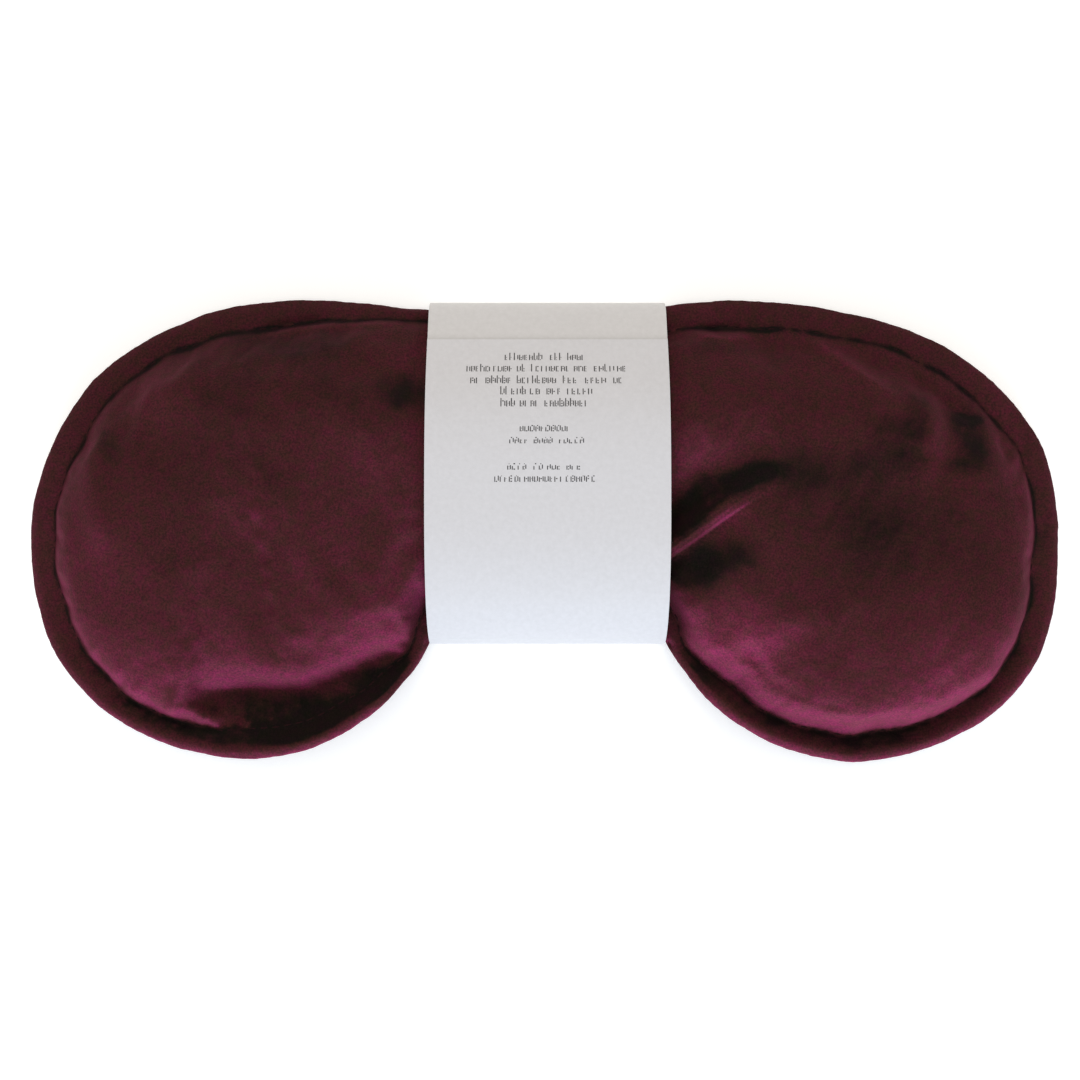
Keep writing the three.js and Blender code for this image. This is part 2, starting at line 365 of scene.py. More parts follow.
TUCK_RIDGE = [(-13, 0), (-0.9, -4.0), (0.0, -1.4), (1.4, -0.4), (7, 0)]
TUCK_RIDGE_FADE = [(0, 1), (0.2, 1), (0.4, 0.6), (0.56, 0.15), (0.66, 0)]
TUCK_HOLLOW = [(-1, 0), (1.0, 0.2), (1.8, 0.1), (7.2, -4.2), (22, 0)]
TUCK_HOLLOW_FADE = [(0, 1.3), (0.3, 1.2), (0.5, 1), (0.66, 0.5), (0.82, 0)]

# painted light and shade spots on the velvet: (x, y, reach along x, reach along y, painted brighter above 0 or
# painted darker)
PAINTED_LIGHT_SPOTS = [
    (74, 4, 36, 26, -0.19), (33, -9, 17, 12, -0.42), (31, 3.5, 9, 8, -0.36),
    (37, 8.5, 11, 7, -0.42), (45, 12.5, 12, 6, -0.26),
    (46, -25, 20, 12, 0.24), (59, 14, 20, 12, -0.16),
    (79, 19, 14, 12, -0.10), (41, 42, 12, 3.5, -0.12), (112, 6, 9, 16, 0.08), (96, -34, 34, 20, 0.11),
    (88, 19, 5, 15, 0.16), (107, 18, 6, 13, 0.12), (97, 21, 5, 12, -0.12), (-72, 3, 42, 22, -0.06),
    (-74, -38, 20, 7, -0.12), (-41, -33, 14, 5, -0.22), (-54, -40, 15, 5, -0.18),
    (-31, 31, 10, 8, -0.24), (-90, 27, 14, 12, 0.10), (-107, 9, 7, 16, 0.06), (-36, 39, 12, 6, 0.07),
    (-60, 43, 40, 10, -0.10), (-68, 28, 44, 30, -0.07),
]

# the valley beside the notch on the left lobe
VALLEY = [
    (-96, -40), (-84, -38.5), (-71, -36.6), (-62, -37.4), (-56.7, -37), (-50, -34.4), (-44, -32),
    (-37, -28.4), (-28, -23.4), (-20, -19),
]
# the flange beside that valley, where the sewn line lies smooth
CALM = [(-78, -51), (-64, -50), (-50, -45), (-38, -34), (-31, -26)]


def face_relief(points):
    """How far creases, folds and shifted grain raise or lower the face panel."""
    total = 0.3 * wander(points, 48, 3, 2)
    # the right lobe's grain lies towards the notch side
    total -= 4.0 * np.tanh((points[:, 1] + 10) / 28) * smooth(34, 58, points[:, 0])
    for path, width, height in FACE_FOLDS:
        total += stroke(points, path, width, height)
    total += crease(points, TUCK, TUCK_RIDGE, TUCK_RIDGE_FADE)
    return total + crease(points, TUCK, TUCK_HOLLOW, TUCK_HOLLOW_FADE)


def wall(points):
    """The dome's exponent: small by the notch, where it stands steep, and large on the brow side."""
    x, y = points[:, 0], points[:, 1]
    notch = 0.2 * np.exp(-(((x + 42) / 26) ** 2)) + 0.3 * np.exp(-(((x - 28) / 14) ** 2))
    return 0.6 - notch * smooth(6, -14, y) + 0.45 * smooth(0, 42, y)


def held(points):
    """1 in the valley, where no grain presses the cloth out, and 0 away from it."""
    signed, where = beside(points, rounded(VALLEY))
    return smooth(14, -2, signed) * smooth(-20, -30, points[:, 0]) * smooth(0.05, 0.3, where)


def soft_min(a, b, soft):
    return -soft * np.logaddexp(-a / soft, -b / soft)


def valley(points, z):
    """Heights pressed down into the valley, and risen again from it towards the flange."""
    signed, where = beside(points, rounded(VALLEY))
    sewn_z = FLANGE_HEIGHT + flange_lift(points) + FLANGE_HALF - 0.25
    below = np.maximum(-signed, 0)
    share_out = below / (below + distance_to(points, stitch_line) + 1e-6)
    bed = 6.4 + 2.8 * smooth(0.35, 0.8, where)
    above = np.maximum(signed, 0)
    wall_z = 9.5 * (1 - np.exp(-above / 4.5)) + 0.17 * above
    floor_z = bed + np.where(signed > 0, wall_z, (sewn_z - bed) * share_out)
    floor_z += 22 * (1 - smooth(0.0, 0.3, where)) + 40 * smooth(-26, -12, points[:, 0])
    return soft_min(z, floor_z, 0.1 + 0.7 * smooth(0, 6, distance_to(points, stitch_line)))


def free_of_band(points):
    """0 by the band, which holds the flange down, and 1 from 10 mm away from it."""
    return smooth(0, 10, np.abs(points[:, 0] - BAND_CENTRE_X) - BAND_WIDTH / 2 - 0.5)


def flange_lift(points):
    """How far the stitch line is turned up: most beside the notch, where the band pinches it."""
    left = stroke(points, [(-78, -53), (-60, -52), (-47, -47), (-37, -39), (-29, -29)], 12.0, 4.6)
    right = stroke(points, [(30, -29), (39, -40), (52, -49), (62, -53)], 9.0, 2.2)
    return (left + right) * free_of_band(points) + 0.6 * wander(points, 70, 8, 2)


def edge_curl(points):
    """How much higher the flange's outer edge is than its stitch line: it curls up along the notch side."""
    low_side = 1.8 * smooth(0, -40, points[:, 1]) * (1 - 0.3 * smooth(85, 118, np.abs(points[:, 0])))
    low_side -= 0.7 * smooth(0, 40, points[:, 1])
    left = stroke(points, [(-72, -54), (-62, -52.5), (-50, -49), (-37, -40), (-26, -26)], 10.0, 2.6)
    right = stroke(points, [(27, -26), (39, -40), (54, -50)], 9.0, 2.0)
    return (low_side + left + right) * free_of_band(points)


def band_room(points):
    """The highest that cloth may be: close under the band's paper, then higher away from its two edges."""
    top = loop_outline[loop_outline[:, 1] > 8]
    order = np.argsort(top[:, 0])
    ceiling = np.interp(points[:, 1], top[order, 0], top[order, 1]) - 1.3
    past = np.maximum(np.abs(points[:, 0] - BAND_CENTRE_X) - BAND_WIDTH / 2 - 1.0, 0)
    return ceiling + (0.4 + 1.0 * smooth(-20, -28, points[:, 1])) * past + 0.04 * past**2


def band_floor(points):
    """The lowest that cloth may be: on the band's paper, and on the table away from it."""
    low = loop_outline[loop_outline[:, 1] < 3]
    order = np.argsort(low[:, 0])
    paper = np.interp(points[:, 1], low[order, 0], low[order, 1]) + 0.55
    return paper * (1 - smooth(1.0, 6, np.abs(points[:, 0] - BAND_CENTRE_X) - BAND_WIDTH / 2))


# ---------------------------------------------------------------- panels
def panel_mesh(name, side):
    """One panel in millimetres as (points, faces): the dome, the flange and the edge turned in under it."""
    half = FLANGE_HALF
    lift = flange_lift(flat)
    mid = FLANGE_HEIGHT + lift * smooth(10, 0, distance_to(flat, stitch_line))
    if side > 0:
        waist = 1 - smooth(26, 50, np.abs(flat[:, 0] - BAND_CENTRE_X))
        rise = (LOBE_TOP - FLANGE_HEIGHT - half) * (1 - 0.1 * waist)
        z = valley(flat, mid + half + rise * (1 - np.clip(1 - share, 0, 1) ** 1.5) ** wall(flat))
        z = np.minimum(soft_min(z, band_room(flat), 0.7), LOBE_TOP + SWELL_ROOM)
    else:
        drop = FLANGE_HEIGHT - half
        z = np.maximum(mid - half - drop * smooth(0, 0.35, share), 0.0)
        under = 1 - smooth(31, 37, np.abs(flat[:, 0] - BAND_CENTRE_X))
        z = np.maximum(z, 0.75 * under)
    dome = np.column_stack([flat, z])
    calm = stroke(stitch_line, CALM, 9.0, 1.0) if side > 0 else 0
    dome[:EDGE_COUNT, 2] = mid[:EDGE_COUNT] + side * (half - 0.55 + 0.35 * calm)
    # each ring's distance in from the edge as a share of the flange's width, and its height
    sections = [
        (0.86, half - 0.15),
        (0.65, half + 0.1),
        (0.45, half + 0.2),
        (0.31, half + 0.12),
        (0.19, half - 0.25),
        (0.08, half - 0.7),
        (0.015, half - 1.2),
        (0.0, half * 0.2),
        (0.05, 0.28),
        (0.16, 0.12),
        (0.5, 0.1),
        (ALLOWANCE / STITCH_INSET, 0.1),
    ]
    rings = []
    curl, sewn_lift = edge_curl(edge), flange_lift(stitch_line)
    for inset, height in sections:
        at = edge + inward * (inset * flange_width)[:, None]
        z = FLANGE_HEIGHT + sewn_lift + side * height + curl * smooth(1.08, 0.25, inset)
        rings.append(np.column_stack([at, z]))
    points = np.vstack([dome] + rings)
    faces = [tuple(t) for t in triangles]
    starts = [0] + [len(dome) + k * EDGE_COUNT for k in range(len(rings))]
    for a, b in zip(starts, starts[1:]):
        for i in range(EDGE_COUNT):
            j = (i + 1) % EDGE_COUNT
            faces.append((a + j, a + i, b + i, b + j))
    if side < 0:
        faces = [f[::-1] for f in faces]
    return points, faces


def new_object(name, points, faces, body, material):
    mesh = bpy.data.meshes.new(name)
    mesh.from_pydata((np.asarray(points) * MM).tolist(), [], [tuple(map(int, f)) for f in faces])
    mesh.validate()
    mesh.update()
    obj = bpy.data.objects.new(name, mesh)
    bpy.context.scene.collection.objects.link(obj)
    mesh.polygons.foreach_set("use_smooth", [True] * len(mesh.polygons))
    mesh.materials.append(material)
    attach(obj, body)
    return obj


def points_of(obj):
    flat_points = np.empty(len(obj.data.vertices) * 3)
    obj.data.vertices.foreach_get("co", flat_points)
    return flat_points.reshape(-1, 3) / MM


def move_points(obj, points):
    obj.data.vertices.foreach_set("co", (points * MM).ravel())
    obj.data.update()


def swollen(obj, pinned, ease, pressure, cap):
    """A sewn panel's points, pressed out a little by cloth simulation: each moves its cap at most.
    The panel comes with its dome already formed."""
    start = points_of(obj)
    sewn = obj.vertex_groups.new(name="sewn")
    sewn.add([int(i) for i in pinned], 1.0, "REPLACE")
    mod = obj.modifiers.new("swell", "CLOTH")
    cloth = mod.settings
    cloth.quality = 6
    cloth.mass = CLOTH_MASS
    cloth.tension_stiffness = CLOTH_STIFF
    cloth.compression_stiffness = CLOTH_STIFF
    cloth.shear_stiffness = CLOTH_STIFF / 3
    cloth.bending_stiffness = CLOTH_BEND
    cloth.air_damping = 2.0
    cloth.vertex_group_mass = sewn.name
    cloth.use_pressure = True
    cloth.uniform_pressure_force = pressure
    cloth.shrink_min = -ease
    cloth.effector_weights.gravity = 0
    mod.collision_settings.use_collision = False
    mod.point_cache.frame_start = 1
    mod.point_cache.frame_end = 20
    scene = bpy.context.scene
    for step in range(1, 21):
        scene.frame_set(step)
    ready = obj.evaluated_get(bpy.context.evaluated_depsgraph_get())
    moved = np.array([tuple(v.co) for v in ready.data.vertices]) / MM - start
    obj.modifiers.remove(mod)
    scene.frame_set(1)
    far = np.linalg.norm(moved, axis=1)
    return start + moved * np.minimum(1, cap / np.maximum(far, 1e-6))[:, None]


def subdivided(obj, levels):
    """The object's mesh with Catmull-Clark levels made part of it."""
    mod = obj.modifiers.new("subdivide", "SUBSURF")
    mod.levels = mod.render_levels = levels
    ready = obj.evaluated_get(bpy.context.evaluated_depsgraph_get())
    made = bpy.data.meshes.new_from_object(ready)
    obj.modifiers.clear()
    obj.data = made


# ---------------------------------------------------------------- materials
def nodes_of(name):
    mat = bpy.data.materials.new(name)
    mat.use_nodes = True
    tree = mat.node_tree
    return mat, tree, tree.nodes["Principled BSDF"]


def add_node(tree, kind, **values):
    made = tree.nodes.new(kind)
    for key, value in values.items():
        if key in made.inputs:
            made.inputs[key].default_value = value
        else:
            setattr(made, key, value)
    return made


def feed(tree, socket, value):
    """Link another node's output to a socket, or set the socket to a plain value."""
    if isinstance(value, bpy.types.NodeSocket):
        tree.links.new(value, socket)
    else:
        socket.default_value = value


def calculate(tree, operation, *inputs):
    made = add_node(tree, "ShaderNodeMath", operation=operation)
    for socket, value in zip(made.inputs, inputs):
        feed(tree, socket, value)
    return made.outputs["Value"]


def map_range(tree, value, low, high, to=(0.0, 1.0), interpolation="LINEAR"):
    made = add_node(tree, "ShaderNodeMapRange", interpolation_type=interpolation)
    names = ("Value", "From Min", "From Max", "To Min", "To Max")
    for name, given in zip(names, (value, low, high, *to)):
        feed(tree, made.inputs[name], given)
    return made.outputs["Result"]


def noise(tree, coords, **values):
    made = add_node(tree, "ShaderNodeTexNoise", **values)
    tree.links.new(coords.outputs["Object"], made.inputs["Vector"])
    return made


def split(tree, vector):
    made = add_node(tree, "ShaderNodeSeparateXYZ")
    tree.links.new(vector, made.inputs["Vector"])
    return made.outputs


def colour_ramp(tree, factor, stops, interpolation="LINEAR"):
    """The colour at factor, from stops listed as (position, (red, green, blue)), lowest first."""
    made = add_node(tree, "ShaderNodeValToRGB")
    ramp = made.color_ramp
    ramp.interpolation = interpolation
    for k, (at, colour) in enumerate((stops[0], stops[-1])):
        ramp.elements[k].position = at
        ramp.elements[k].color = (*colour, 1)
    for at, colour in stops[1:-1]:
        ramp.elements.new(at).color = (*colour, 1)
    tree.links.new(factor, made.inputs["Fac"])
    return made.outputs["Color"]


def multiplied(tree, a, b):
    made = add_node(tree, "ShaderNodeMix", data_type="RGBA", blend_type="MULTIPLY")
    made.inputs["Factor"].default_value = 1.0
    tree.links.new(a, made.inputs["A"])
    tree.links.new(b, made.inputs["B"])
    return made.outputs["Result"]


def bumped(tree, shader, height, strength, distance):
    bump = add_node(tree, "ShaderNodeBump", Strength=strength, Distance=distance)
    tree.links.new(height, bump.inputs["Height"])
    tree.links.new(bump.outputs["Normal"], shader.inputs["Normal"])


# painted light and shade: how much brighter or darker the velvet is painted as the cloth turns from the notch
# side (0), where the window light comes from, to the brow side (1)
PAINTED_FACING_LIGHT = [
    (0.0, 1.20), (0.1, 1.06), (0.2, 0.88), (0.3, 0.72), (0.4, 0.59), (0.5, 0.50), (0.6, 0.453),
    (0.65, 0.416), (0.7, 0.362), (0.75, 0.28), (0.8, 0.18), (0.85, 0.05), (1.0, 0.0),
]
# the velvet's colours, from the deepest painted shade (0) to the brightest painted highlight (1)
VELVET_SHADE_TO_HIGHLIGHT = [
    (0.0, (0.006, 0.0050, 0.0042)), (0.10, (0.010, 0.0062, 0.0052)), (0.18, (0.022, 0.0082, 0.0080)),
    (0.30, (0.044, 0.0112, 0.0125)), (0.48, (0.053, 0.0120, 0.0150)), (0.72, (0.096, 0.0160, 0.0290)),
    (1.0, (0.230, 0.032, 0.082)),
]
RAGGED = 14.0  # how far noise pushes the borders of the painted light and shade spots about


def velvet_material():
    mat, tree, shader = nodes_of("velvet")
    link = tree.links.new
    coords = add_node(tree, "ShaderNodeTexCoord")
    pile = noise(tree, coords, Scale=2300.0, Detail=2.0, Roughness=0.6)
    spot_noise = noise(tree, coords, Scale=55.0, Detail=3.0, Roughness=0.55)
    # painted light: cloth that faces the notch side, where the window light comes from, is painted brighter, and
    # cloth that faces the brow darker
    facing = split(tree, coords.outputs["Normal"])
    # painted sheen: cloth that faces left or right is painted a little brighter
    side = calculate(tree, "ABSOLUTE", facing["X"])
    patches = calculate(tree, "MULTIPLY_ADD", spot_noise.outputs["Fac"], 0.36, 0.225)
    along = calculate(tree, "MULTIPLY_ADD", side, 0.18, patches)
    # steep cloth, such as the rolled edge, gets no painted bright or dark side
    browward = calculate(tree, "GREATER_THAN", facing["Y"], 0.0)
    limit = calculate(tree, "MULTIPLY_ADD", browward, 0.35, 0.35)
    flatness = map_range(tree, facing["Z"], -0.1, limit)
    steep = calculate(tree, "MULTIPLY", facing["Y"], flatness)
    # near the brow the painted shade from facing is weaker
    place = split(tree, coords.outputs["Object"])
    weaker_by_brow = map_range(tree, place["Y"], 0.022, 0.036, (1.0, 0.45), "SMOOTHSTEP")
    lean = calculate(tree, "MULTIPLY", steep, weaker_by_brow)
    lean_share = map_range(tree, lean, -1.0, 1.0)
    painted_facing_light = colour_ramp(tree, lean_share, [(at, (grey,) * 3) for at, grey in PAINTED_FACING_LIGHT])
    tone_and_painted_light = calculate(tree, "ADD", along, calculate(tree, "SUBTRACT", painted_facing_light, 0.5))
    # painted light and shade spots, with ragged borders
    ragged = add_node(tree, "ShaderNodeVectorMath", operation="MULTIPLY_ADD")
    ragged.inputs[1].default_value = (RAGGED * MM, RAGGED * MM, 0.0)
    link(spot_noise.outputs["Color"], ragged.inputs[0])
    link(coords.outputs["Object"], ragged.inputs[2])
    painted_spots = 0.0
    for x, y, reach_x, reach_y, amount in PAINTED_LIGHT_SPOTS:
        spot = add_node(tree, "ShaderNodeMapping", vector_type="TEXTURE")
        spot.inputs["Location"].default_value = ((x + RAGGED / 2) * MM, (y + RAGGED / 2) * MM, 0)
        spot.inputs["Scale"].default_value = (reach_x * MM, reach_y * MM, 1)
        link(ragged.outputs["Vector"], spot.inputs["Vector"])
        near = add_node(tree, "ShaderNodeTexGradient", gradient_type="SPHERICAL")
        link(spot.outputs["Vector"], near.inputs["Vector"])
        soft = map_range(tree, near.outputs["Fac"], 0.0, 0.9, (0.0, amount), "SMOOTHSTEP")
        painted_spots = calculate(tree, "ADD", soft, painted_spots)
    # the painted spots go only on cloth that faces up
    upward = map_range(tree, facing["Z"], -0.1, 0.1)
    tone_and_painted_light = calculate(tree, "MULTIPLY_ADD", painted_spots, upward, tone_and_painted_light)
    # painted shade from the panels' 'shade' attribute; below 0 it is painted highlight
    painted_shade_attribute = add_node(tree, "ShaderNodeAttribute", attribute_name="shade")
    tone_and_painted_light = calculate(tree, "MULTIPLY_ADD", painted_shade_attribute.outputs["Fac"], -0.42, tone_and_painted_light)
    colour = colour_ramp(tree, tone_and_painted_light, VELVET_SHADE_TO_HIGHLIGHT, "B_SPLINE")
    # single tufts catch or lose the light, and some show the brown ground between them
    tufts = colour_ramp(tree, pile.outputs["Fac"], [(0.34, (0.60, 0.80, 0.72)), (0.68, (1.40, 1.20, 1.28))])
    # patches a few millimetres wide lean to brown or to purple
    tint = noise(tree, coords, Scale=420.0, Detail=3.0, Roughness=0.6)
    hues = colour_ramp(tree, tint.outputs["Fac"], [(0.36, (0.86, 1.14, 0.86)), (0.64, (1.12, 0.88, 1.14))])
    link(multiplied(tree, multiplied(tree, colour, tufts), hues), shader.inputs["Base Color"])
    shader.inputs["Roughness"].default_value = 0.75
    shader.inputs["Specular IOR Level"].default_value = 0.04
    shader.inputs["Sheen Weight"].default_value = 0.35
    shader.inputs["Sheen Roughness"].default_value = 0.45
    shader.inputs["Sheen Tint"].default_value = (0.27, 0.055, 0.10, 1)
    bumped(tree, shader, pile.outputs["Fac"], 0.35, 0.0003)
    return mat


def mottled_material(name, low, high, roughness, **texture):
    """A material whose colour runs between two with fine noise."""
    mat, tree, shader = nodes_of(name)
    coords = add_node(tree, "ShaderNodeTexCoord")
    spread = noise(tree, coords, **texture)
    colour = colour_ramp(tree, spread.outputs["Fac"], [(0.0, low), (1.0, high)])
    tree.links.new(colour, shader.inputs["Base Color"])
    shader.inputs["Roughness"].default_value = roughness
    return mat, shader


def thread_material():
    mat, shader = mottled_material(
        "sewing_thread", (0.010, 0.0040, 0.0045), (0.028, 0.0085, 0.0100), 0.9, Scale=2500.0, Detail=1.0
    )
    shader.inputs["Specular IOR Level"].default_value = 0.08
    return mat


def paper_material():
    mat, tree, shader = nodes_of("white_card")
    coords = add_node(tree, "ShaderNodeTexCoord")
    fibre = noise(tree, coords, Scale=900.0, Detail=4.0, Roughness=0.65)
    stops = [(0.25, (0.578, 0.568, 0.590)), (0.8, (0.638, 0.628, 0.655))]
    colour = colour_ramp(tree, fibre.outputs["Fac"], stops)
    # painted shadow of the lap's free end on the paper below it, and a faintly warmer painted shade on the paper
    # past it
    past_lap = map_range(tree, split(tree, coords.outputs["Object"])["Y"], 0.0428, 0.0448)
    lap_shade = [
        (0.2, (1, 1, 1)), (0.3, (0.84, 0.83, 0.80)), (0.62, (0.95, 0.94, 0.91)), (1.0, (1, 0.99, 0.96)),
    ]
    shade = colour_ramp(tree, past_lap, lap_shade)
    tree.links.new(multiplied(tree, colour, shade), shader.inputs["Base Color"])
    shader.inputs["Roughness"].default_value = 0.62
    bumped(tree, shader, fibre.outputs["Fac"], 0.08, 0.0001)
    return mat


def ink_material():
    return mottled_material(
        "grey_ink", (0.010, 0.009, 0.011), (0.030, 0.028, 0.032), 0.7, Scale=3000.0, Detail=2.0
    )[0]


def tape_material():
    return mottled_material("clear_tape", (0.72, 0.68, 0.55), (0.80, 0.77, 0.66), 0.3, Scale=400.0)[0]


def grain_material():
    mat, tree, shader = nodes_of("rice_and_flax")
    coords = add_node(tree, "ShaderNodeTexCoord")
    seeds = add_node(tree, "ShaderNodeTexVoronoi", Scale=320.0)
    tree.links.new(coords.outputs["Object"], seeds.inputs["Vector"])
    stops = [(0.0, (0.16, 0.08, 0.03)), (1.0, (0.75, 0.68, 0.50))]
    tree.links.new(colour_ramp(tree, seeds.outputs["Color"], stops), shader.inputs["Base Color"])
    shader.inputs["Roughness"].default_value = 0.5
    bumped(tree, shader, seeds.outputs["Distance"], 0.8, 0.001)
    return mat


velvet = velvet_material()
thread = thread_material()
card = paper_material()
ink = ink_material()
tape = tape_material()
grain = grain_material()


# ---------------------------------------------------------------- pillow
def pucker(points):
    """Small gathers that run square to the stitch line and die out within a few millimetres of it."""
    n = 4 * EDGE_COUNT
    line = evenly(stitch_line, n)
    best = np.full(len(points), 1e9)
    where = np.zeros(len(points))
    for start in range(0, len(points), 4000):
        chunk = points[start : start + 4000]
        d = ((chunk[:, None, :] - line[None, :, :]) ** 2).sum(2)
        where[start : start + 4000] = d.argmin(1)
        best[start : start + 4000] = np.sqrt(d.min(1))
    along = where / n * length_of(line)
    phase = 0.9 * np.sin(along / 17) + 0.7 * np.sin(along / 7.3 + 1)
    turns = 2 * math.pi * along
    fine = np.sin(turns / 8.7 + 2 * phase) + 0.6 * np.sin(turns / 4.3 + 3 * phase)
    strength = 0.5 + 0.5 * np.sin(along / 23 + 2) * np.sin(along / 41)
    return fine * strength, best


def thin_folds(points, width_share):
    folds = [stroke(points, path, width_share * width, height) for path, width, height in THIN_FOLDS]
    return sum(folds)


def finish_panel(obj, side):
    """Swell, crease and shade a panel and give the cloth its thickness. Returns the swollen points of the
    mesh before it is subdivided, which the grain is fitted between."""
    pinned = np.r_[0:EDGE_COUNT, len(flat) : len(obj.data.vertices)]
    start = points_of(obj)[:, :2]
    cap = 3.0
    if side > 0:
        cap = (0.8 + 2.2 * smooth(0, 16, distance_to(start, stitch_line))) * (1 - 0.9 * held(start))
    swell = swollen(obj, pinned, EASE, PRESSURE, cap)
    if side > 0:
        swell[:, 2] = np.minimum(swell[:, 2], np.minimum(LOBE_TOP + SWELL_ROOM, band_room(swell)))
    swell[:, 2] = np.maximum(swell[:, 2], band_floor(swell))
    move_points(obj, swell)
    subdivided(obj, 2)
    points = points_of(obj)
    if side > 0:
        sewn = smooth(0, 6, distance_to(points[:, :2], stitch_line))
        inner = (points[:, 2] > FLANGE_HEIGHT + 0.6) & inside(points[:, :2], stitch_line)
        points[:, 2] += face_relief(points[:, :2]) * sewn * inner
        points[:, 2] = soft_min(points[:, 2], band_room(points[:, :2]), 0.3)
    upper = (points[:, 2] - FLANGE_HEIGHT) * side > 0.6
    gathers, away = pucker(points[:, :2])
    on_dome = inside(points[:, :2], stitch_line)
    amount = np.where(on_dome, 0.42 * np.exp(-((away / 4.5) ** 2)), 0.14 * np.exp(-((away / 2.5) ** 2)))
    amount *= gathers * upper * smooth(0, 1.2, away) * (1 - stroke(points[:, :2], CALM, 10.0, 0.85))
    amount *= 1 + 0.6 * smooth(-20, -40, points[:, 1]) - 0.65 * smooth(5, 30, points[:, 1])
    fine = 0.05 * wander(points[:, :2], 14, 5 + side, 2) + 0.035 * wander(points[:, :2], 2.4, 31, 2)
    if side > 0:
        amount += upper * thin_folds(points[:, :2], 1.0)
    points[:, 2] += side * (amount + fine * upper)
    loose = ~on_dome
    points[loose, 0] += 0.05 * wander(points[loose, :2], 2.6, 41, 2)
    points[loose, 1] += 0.05 * wander(points[loose, :2], 2.6, 43, 2)
    points[:, 2] = np.maximum(points[:, 2], band_floor(points))
    move_points(obj, points)
    # how much painted shade the panel gets, kept in the 'shade' attribute: along the stitch line, and beside it
    # on the flange's notch side and right end; thin folds get painted highlight along their crests (below 0) and
    # painted shade in their furrows
    ragged = 0.75 + 0.45 * wander(points[:, :2], 9, 17, 2)
    line = np.exp(-((away / 0.75) ** 2)) * ragged * (1 - stroke(points[:, :2], CALM, 8.0, 0.9))
    lower = 0.12 * smooth(25, -10, points[:, 1])
    x, y = points[:, 0], points[:, 1]
    right = 0.5 * smooth(60, 100, x) * smooth(35, 5, y) * smooth(-50, -25, y)
    beside_line = loose * smooth(5.2, 1.0, away) * np.maximum(lower, right)
    crests = thin_folds(points[:, :2], 0.6)
    shading = line + beside_line * ragged - 0.5 * crests * upper * (side > 0)
    shade = obj.data.attributes.new("shade", "FLOAT", "POINT")
    shade.data.foreach_set("value", np.clip(shading, -1, 1).astype(np.float32))
    thick = obj.modifiers.new("cloth thickness", "SOLIDIFY")
    thick.thickness = CLOTH * MM
    thick.offset = -1
    return swell


face_points, face_faces = panel_mesh("face_panel", 1)
face = new_object("face_panel", face_points, face_faces, "pillow", velvet)
back_points, back_faces = panel_mesh("back_panel", -1)
back = new_object("back_panel", back_points, back_faces, "pillow", velvet)
face_swell = finish_panel(face, 1)
back_swell = finish_panel(back, -1)
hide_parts("face_cover")
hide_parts("back_cover")


# ---------------------------------------------------------------- grain
def grain_mass():
    keep = np.flatnonzero(distance_to(flat, stitch_line) > 2.0)
    index = np.full(len(flat), -1)
    index[keep] = np.arange(len(keep))
    faces = [tuple(index[t]) for t in triangles if (index[t] >= 0).all()]
    top = face_swell[keep].copy()
    bottom = back_swell[keep].copy()
    top[:, 2] += np.minimum(face_relief(top[:, :2]), 0) - 2.6
    bottom[:, 2] += 1.4
    top[:, 2] = np.maximum(top[:, 2], bottom[:, 2] + 0.6)
    n = len(keep)
    made = list(faces) + [tuple(n + v for v in f[::-1]) for f in faces]
    uses = {}
    for f in faces:
        for a, b in zip(f, f[1:] + f[:1]):
            uses[(a, b)] = True
    for a, b in list(uses):
        if (b, a) not in uses:
            made.append((b, a, n + a, n + b))
    obj = new_object("grain_mass", np.vstack([top, bottom]), made, "pillow", grain)
    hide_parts("grain_fill")
    return obj


grain_mass()


# ---------------------------------------------------------------- threads
def surface_tree(obj):
    mesh = obj.data
    verts = [v.co.copy() for v in mesh.vertices]
    return BVHTree.FromPolygons(verts, [tuple(p.vertices) for p in mesh.polygons])


def stitches(name, obj, side, node):
    """Short stitches along the stitch line, each dipping into the cloth at both ends."""
    tree = surface_tree(obj)
    total = length_of(stitch_line)
    count = round(total / STITCH_PITCH)
    fine = evenly(stitch_line, count * 12)
    normal = inward_normals(fine)
    points, faces = [], []
    sides, steps = 6, 7
    for s in range(count):
        spine = []
        for k in range(steps):
            at = (s * 12 + k * 12 * STITCH_LENGTH / STITCH_PITCH / (steps - 1)) % len(fine)
            i, t = int(at), at - int(at)
            j = (i + 1) % len(fine)
            p = fine[i] * (1 - t) + fine[j] * t - normal[i] * 0.15
            start = Vector((p[0] * MM, p[1] * MM, (FLANGE_HEIGHT + side * 30) * MM))
            hit = tree.ray_cast(start, Vector((0, 0, -side)))[0]
            z = hit.z / MM if hit else FLANGE_HEIGHT + side * FLANGE_HALF
            bow = math.sin(math.pi * k / (steps - 1))
            spine.append((p[0], p[1], z + side * (0.2 * bow - 0.27)))
        spine = np.array(spine)
        first = len(points)
        for k, p in enumerate(spine):
            along = spine[min(k + 1, steps - 1)] - spine[max(k - 1, 0)]
            along /= np.linalg.norm(along)
            across = np.cross(along, [0, 0, 1])
            across /= np.linalg.norm(across)
            up = np.cross(across, along)
            r = THREAD_RADIUS * (0.55 + 0.45 * math.sin(math.pi * k / (steps - 1)) ** 0.5)
            for q in range(sides):
                turn = 2 * math.pi * q / sides
                points.append(p + r * (math.cos(turn) * across + math.sin(turn) * up))
        for k in range(steps - 1):
            for q in range(sides):
                a, b = first + k * sides + q, first + k * sides + (q + 1) % sides
                faces.append((a, b, b + sides, a + sides))
        faces.append(tuple(first + q for q in reversed(range(sides))))
        faces.append(tuple(first + (steps - 1) * sides + q for q in range(sides)))
    made = new_object(name, points, faces, "pillow", thread)
    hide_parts(node)
    return made


stitches("face_stitches", face, 1, "face_topstitch")
stitches("back_stitches", back, -1, "back_topstitch")


